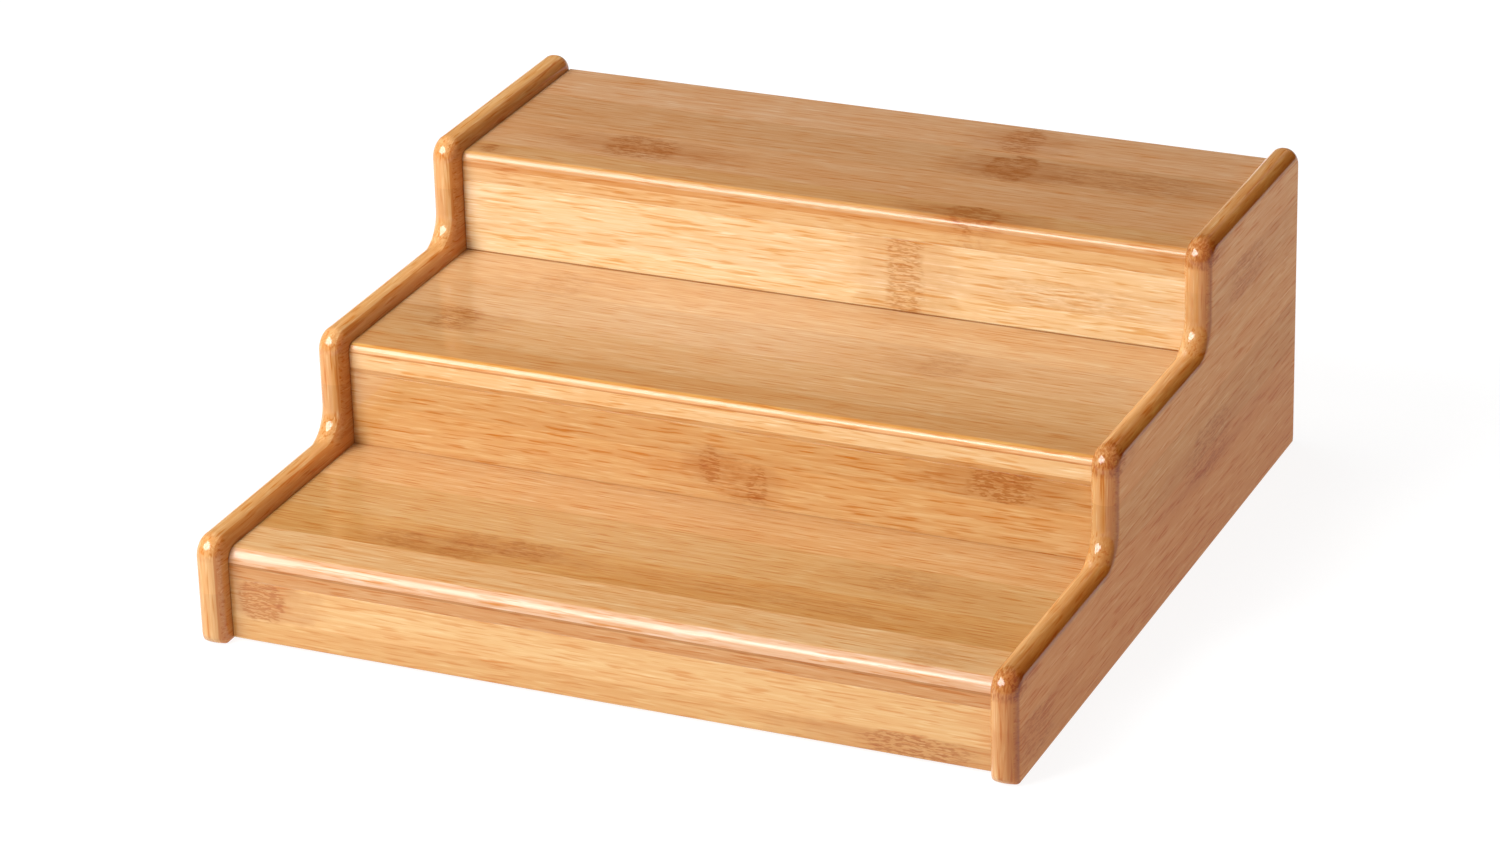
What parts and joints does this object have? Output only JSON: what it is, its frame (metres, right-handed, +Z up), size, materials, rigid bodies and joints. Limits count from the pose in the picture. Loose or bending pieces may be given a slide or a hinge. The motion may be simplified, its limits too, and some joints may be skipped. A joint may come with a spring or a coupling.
{
  "type": "tiered shelf riser",
  "caption": "Stepped bamboo shelf riser: flat tiers between two rounded side panels, closed in front by risers and open at the back, for jars and tins.",
  "frame": {"origin": "centre of the footprint, on the surface that it stands on", "axes": "+X to the right along the shelves, +Y to the back, +Z up; the lowest tier is at the front, -Y"},
  "size_m": [0.315, 0.306, 0.122],
  "materials": {
    "bamboo_panel": "satin lacquer over laminated bamboo",
    "bamboo_shelf": "satin lacquer over laminated bamboo",
    "bamboo_riser": "satin lacquer over laminated bamboo",
    "dowel_birch": "bare turned wood"
  },
  "bodies": {
    "root": {"side_panel_left": "bamboo_panel", "side_panel_right": "bamboo_panel", "shelf_board_lower": "bamboo_shelf", "shelf_board_middle": "bamboo_shelf", "shelf_board_upper": "bamboo_shelf", "riser_lower": "bamboo_riser", "riser_middle": "bamboo_riser", "riser_upper": "bamboo_riser", "dowel_shelf_board_lower_left_front": "dowel_birch", "dowel_shelf_board_lower_left_rear": "dowel_birch", "dowel_riser_lower_left_low": "dowel_birch", "dowel_riser_lower_left_high": "dowel_birch", "dowel_shelf_board_lower_right_front": "dowel_birch", "dowel_shelf_board_lower_right_rear": "dowel_birch", "dowel_riser_lower_right_low": "dowel_birch", "dowel_riser_lower_right_high": "dowel_birch", "dowel_shelf_board_middle_left_front": "dowel_birch", "dowel_shelf_board_middle_left_rear": "dowel_birch", "dowel_riser_middle_left_low": "dowel_birch", "dowel_riser_middle_left_high": "dowel_birch", "dowel_shelf_board_middle_right_front": "dowel_birch", "dowel_shelf_board_middle_right_rear": "dowel_birch", "dowel_riser_middle_right_low": "dowel_birch", "dowel_riser_middle_right_high": "dowel_birch", "dowel_shelf_board_upper_left_front": "dowel_birch", "dowel_shelf_board_upper_left_rear": "dowel_birch", "dowel_riser_upper_left_low": "dowel_birch", "dowel_riser_upper_left_high": "dowel_birch", "dowel_shelf_board_upper_right_front": "dowel_birch", "dowel_shelf_board_upper_right_rear": "dowel_birch", "dowel_riser_upper_right_low": "dowel_birch", "dowel_riser_upper_right_high": "dowel_birch"}
  },
  "joints": []
}
